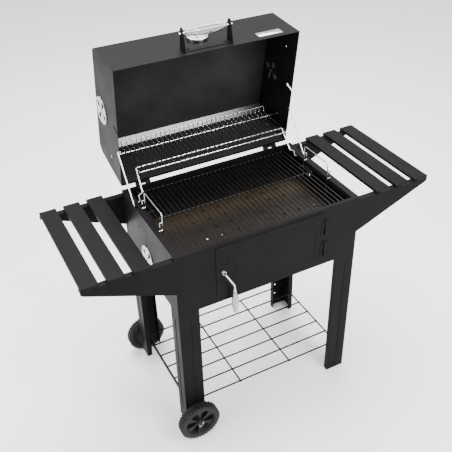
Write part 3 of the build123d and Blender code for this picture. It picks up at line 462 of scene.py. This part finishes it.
def wheel(name, node, body, side_way):
    """Moulded wheel: ribbed tread, dished web with recesses, stepped hub."""
    low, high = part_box(node)
    inner_y = high.y if side_way < 0 else low.y
    base = Vector((AXLE_X, inner_y, WHEEL_R))
    out = Vector((0, side_way, 0))
    thickness = high.y - low.y
    tyre_in, tyre_out = 0.014, 0.046
    tyre_mid = (tyre_in + tyre_out) / 2

    def body_mesh(work):
        hub = [(BORE_R, 0.0), (0.0125, 0.0), (0.0130, 0.0008), (0.0150, 0.0200)]
        inner_web = [(0.0500, 0.0200), (0.0545, 0.0185)]
        inner_wall = [(0.0560, tyre_in + 0.001), (0.0570, tyre_in), (0.0715, tyre_in)]
        inner_shoulder = [(0.0740, tyre_in + 0.002), (0.0748, tyre_in + 0.006)]
        outer_shoulder = [(0.0750, tyre_mid), (0.0748, tyre_out - 0.006), (0.0740, tyre_out - 0.002)]
        outer_wall = [(0.0715, tyre_out), (0.0600, tyre_out), (0.0575, tyre_out - 0.0008)]
        rim = [(0.0560, tyre_out - 0.0030), (0.0535, tyre_out - 0.0080)]
        outer_web = [(0.0525, tyre_out - WEB_DEPTH), (0.0160, tyre_out - WEB_DEPTH)]
        outer_hub = [
            (0.0150, tyre_out - 0.0070),
            (0.0142, thickness - 0.0012),
            (0.0130, thickness),
            (BORE_R, thickness),
        ]
        inside = hub + inner_web + inner_wall + inner_shoulder
        profile = inside + outer_shoulder + outer_wall + rim + outer_web + outer_hub
        lathe(work, profile, base, out, 72)

    mesh_piece(name, body_mesh, body, WHEEL, (node,))

    def tread(work):
        rows = ((tyre_in + 0.002, tyre_mid - 0.001), (tyre_mid + 0.001, tyre_out - 0.002))
        for k in range(TREAD_BLOCKS):
            for row, (low_h, high_h) in enumerate(rows):
                angle = 2 * math.pi * (k + 0.5 * row) / TREAD_BLOCKS
                spread = 2 * math.pi / TREAD_BLOCKS * 0.30
                corners = []
                for radius, shrink in ((TREAD_FOOT_R, 1.0), (TREAD_TOP_R, 0.8)):
                    for h in (low_h, high_h):
                        lean = 0.03 * (h - tyre_mid) / 0.016 * (1 if row else -1)
                        for s in (-1, 1):
                            turn = angle + s * spread * shrink + lean
                            way = Vector((math.cos(turn), 0, math.sin(turn)))
                            corners.append(work.verts.new(base + out * h + way * radius))
                a0, a1, b0, b1, c0, c1, d0, d1 = corners
                for face in (
                    (a0, a1, b1, b0), (c0, c1, d1, d0), (a0, a1, c1, c0),
                    (b0, b1, d1, d0), (a0, b0, d0, c0), (a1, b1, d1, c1),
                ):
                    work.faces.new(face)

    mesh_piece(name + "_tread", tread, body, WHEEL, smooth=False)

    def spokes(work):
        for k in range(SPOKES):
            angle = 2 * math.pi * (k + 0.5) / SPOKES
            way = Vector((math.cos(angle), 0, math.sin(angle)))
            across = out.cross(way)
            corners = []
            for h in (tyre_out - 0.0225, tyre_out - 0.0075):
                for r, half in ((0.0145, 0.0042), (0.0250, 0.0040), (0.0400, 0.0075), (0.0545, 0.0190)):
                    for s in (-1, 1):
                        corners.append(work.verts.new(base + out * h + way * r + across * s * half))
            low, top = corners[:8], corners[8:]
            for i in range(3):
                a, b, c, d = 2 * i, 2 * i + 1, 2 * i + 3, 2 * i + 2
                work.faces.new((top[a], top[b], top[c], top[d]))
                work.faces.new((low[a], low[b], low[c], low[d]))
                work.faces.new((low[a], low[d], top[d], top[a]))
                work.faces.new((low[b], low[c], top[c], top[b]))
            work.faces.new((low[0], low[1], top[1], top[0]))
            work.faces.new((low[6], low[7], top[7], top[6]))

    mesh_piece(name + "_spokes", spokes, body, WHEEL, smooth=False)


wheel("front_wheel_look", "front_wheel", "wheel_front", -1)
wheel("rear_wheel_look", "rear_wheel", "wheel_rear", 1)


# ------------------------------------------------------------------ thermometer marks
dial_low, dial_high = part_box("thermometer_dial")
dial_centre = (dial_low + dial_high) / 2
# The hood's front panel: its direction up the panel and its outward normal, hood open.
panel_lean = math.atan2(12.0, 200.5)
INK_HEIGHT = 0.0001
MARKS, FIRST_MARK, MARK_STEP = 31, 225, 9
UP_U, UP_W = -math.sin(panel_lean), math.cos(panel_lean)
OPEN_COS, OPEN_SIN = math.cos(OPEN_ANGLE), math.sin(OPEN_ANGLE)
PANEL_UP = Vector((0, -UP_U * OPEN_COS + UP_W * OPEN_SIN, UP_U * OPEN_SIN + UP_W * OPEN_COS))
PANEL_OUT = Vector((1, 0, 0)).cross(PANEL_UP)


def dial_marks(work):
    """Plain division marks round the dial, every fifth one longer."""
    face = dial_centre + PANEL_OUT * 0.00065
    for k in range(MARKS):
        angle = math.radians(FIRST_MARK - MARK_STEP * k)
        way = Vector((1, 0, 0)) * math.cos(angle) + PANEL_UP * math.sin(angle)
        across = PANEL_OUT.cross(way)
        long_mark = k % 5 == 0
        inner, outer = (0.0215, 0.029) if long_mark else (0.0255, 0.029)
        half = 0.0007 if long_mark else 0.00035
        outline = ((inner, -1), (inner, 1), (outer, 1), (outer, -1))
        corners = [
            face + way * r + across * s * half + PANEL_OUT * h for h in (0, INK_HEIGHT) for r, s in outline
        ]
        verts = [work.verts.new(c) for c in corners]
        work.faces.new(verts[:4][::-1])
        work.faces.new(verts[4:])
        for i in range(4):
            j = (i + 1) % 4
            work.faces.new((verts[i], verts[j], verts[j + 4], verts[i + 4]))


mesh_piece("thermometer_marks", dial_marks, "hood", INK, smooth=False)

# ------------------------------------------------------------------ rounded sheet edges
for node_name, body_name, width in (
    ("hood_skin", "hood", 0.0014),
    ("front_panel", "cart", 0.0007),
    ("ash_door", "door", 0.0006),
    ("left_shelf_slats", "cart", 0.0012),
    ("right_shelf_slats", "cart", 0.0012),
    ("left_front_leg", "cart", 0.0011),
    ("left_rear_leg", "cart", 0.0011),
    ("right_front_leg", "cart", 0.0011),
    ("right_rear_leg", "cart", 0.0011),
    ("handle_bracket", "hood", 0.0006),
    ("badge_plate", "hood", 0.0004),
):
    softened(node_name, body_name, width)

# The large faces that look into the hood: its walls coloured lighter than the outer coat as painted light,
# its sloping bend lighter and glossier still as a painted highlight.
INSIDE_PAINTED_LIGHT_INDEX, BEND_PAINTED_HIGHLIGHT_INDEX = 1, 2
hood_look = bpy.data.objects["hood_skin_look"]
hood_look.data.materials.append(COAT_INSIDE_PAINTED_LIGHT)
hood_look.data.materials.append(COAT_BEND_PAINTED_HIGHLIGHT)
hood_hollow = middle("hood_skin")
for face in hood_look.data.polygons:
    if face.area > 0.004 and (hood_hollow - face.center).dot(face.normal) > 0:
        face.material_index = BEND_PAINTED_HIGHLIGHT_INDEX if 0.4 < face.normal.z < 0.8 else INSIDE_PAINTED_LIGHT_INDEX

# ------------------------------------------------------------------ studio
floor_mesh = bpy.data.meshes.new("floor")
floor_work = bmesh.new()
bmesh.ops.create_grid(floor_work, x_segments=1, y_segments=1, size=14)
floor_work.to_mesh(floor_mesh)
floor_work.free()
floor = bpy.data.objects.new("floor", floor_mesh)
bpy.context.scene.collection.objects.link(floor)
floor_material, floor_tree, floor_shader = new_material("studio_floor")
floor_patches = noise(floor_tree, coordinates(floor_tree), 1.3, 2.0)
floor_tone = ramp(floor_tree, floor_patches, [(0.3, (0.86, 0.86, 0.86)), (0.7, (0.88, 0.88, 0.88))])
floor_tree.links.new(floor_tone, floor_shader.inputs["Base Color"])
floor_shader.inputs["Roughness"].default_value = 0.9
floor_mesh.materials.append(floor_material)

world = bpy.data.worlds.new("studio")
world.use_nodes = True
world.node_tree.nodes["Background"].inputs["Color"].default_value = (1, 1, 1, 1)
world.node_tree.nodes["Background"].inputs["Strength"].default_value = 1.6
bpy.context.scene.world = world


def softbox(name, place, aim, size, watts):
    lamp = bpy.data.lights.new(name, "AREA")
    lamp.shape = "RECTANGLE"
    lamp.size = size
    lamp.size_y = size
    lamp.energy = watts
    holder = bpy.data.objects.new(name, lamp)
    bpy.context.scene.collection.objects.link(holder)
    holder.location = place
    way = Vector(aim) - Vector(place)
    holder.rotation_euler = way.to_track_quat("-Z", "Y").to_euler()


softbox("left_box", (-3.0, -0.2, 1.7), (0, 0, 0.8), 2.4, 90)
softbox("top_box", (0.3, 1.0, 3.6), (0, 0, 0.8), 2.8, 330)
softbox("front_box", (0.73, -1.82, 2.31), (-0.05, 0.3, 0.9), 0.9, 75)

# ------------------------------------------------------------------ camera
AZIMUTH, ELEVATION, ROLL = math.radians(-26.74), math.radians(35.54), math.radians(-1.59)
DISTANCE = 2.3933
TARGET = Vector((-0.0542, BOX_Y, 0.7002))
level = math.cos(ELEVATION)
back = Vector((math.sin(AZIMUTH) * level, -math.cos(AZIMUTH) * level, math.sin(ELEVATION)))
right = (-back).cross(Vector((0, 0, 1))).normalized()
up = right.cross(-back)
rolled_right = right * math.cos(ROLL) + up * math.sin(ROLL)
rolled_up = up * math.cos(ROLL) - right * math.sin(ROLL)
camera_data = bpy.data.cameras.new("camera")
camera_data.sensor_width = 36.0
camera_data.lens = 53.59
camera = bpy.data.objects.new("camera", camera_data)
bpy.context.scene.collection.objects.link(camera)
axes = Matrix((rolled_right, rolled_up, back)).transposed().to_4x4()
camera.matrix_world = Matrix.Translation(TARGET + back * DISTANCE) @ axes
bpy.context.scene.camera = camera
